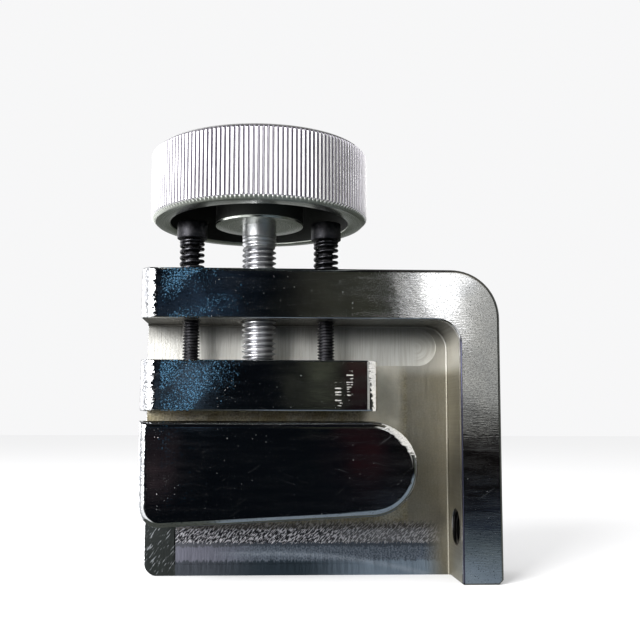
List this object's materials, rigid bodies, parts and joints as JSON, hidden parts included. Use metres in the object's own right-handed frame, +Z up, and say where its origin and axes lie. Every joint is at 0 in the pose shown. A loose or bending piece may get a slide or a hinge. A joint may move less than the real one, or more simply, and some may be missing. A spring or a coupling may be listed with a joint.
{
  "type": "hand screw press with sprung jaw",
  "caption": "Hand-screw press: knurled knob and screw drive a spring-lifted moving jaw towards a fixed jaw in an open-sided plated block.",
  "frame": {"origin": "middle of the press's overall box at its foot; the screw axis is at X = -14.1 mm, Y = 0", "axes": "+Z up along the screws, +X towards the closed side wall, -Y out of the open front"},
  "size_m": [0.081, 0.05, 0.0978],
  "materials": {
    "frame_plating": "polished front faces, satin milled pocket, bright nickel or chrome plate",
    "jaw_plating": "polished plate with fine scratches",
    "bright_screw": "bright zinc-plated thread",
    "knob_metal": "satin turned, straight knurl on the edge",
    "black_screw": "black oxide",
    "black_spring": "black oxide, lightly oiled"
  },
  "bodies": {
    "frame": {"frame": "frame_plating", "left_spring": "black_spring", "right_spring": "black_spring"},
    "jaw": {"moving_jaw": "jaw_plating", "left_lifting_screw": "black_screw", "right_lifting_screw": "black_screw"},
    "spindle": {"main_screw": "bright_screw", "knob": "knob_metal"}
  },
  "joints": [
    {"name": "jaw_slide", "type": "slide", "parent": "frame", "child": "jaw", "axis": [0, 0, 1], "range_m": [-0.00215, 0.0089], "deforming": ["left_spring", "right_spring"]},
    {"name": "knob_turn", "type": "hinge", "parent": "jaw", "child": "spindle", "pos_m": [-0.0141, 0, 0.09], "axis": [0, 0, 1], "range_deg": [-615, 2560]}
  ],
  "couplings": [
    {"joint": "jaw_slide", "follows": "knob_turn", "m_per_rad": 0.00019894}
  ]
}
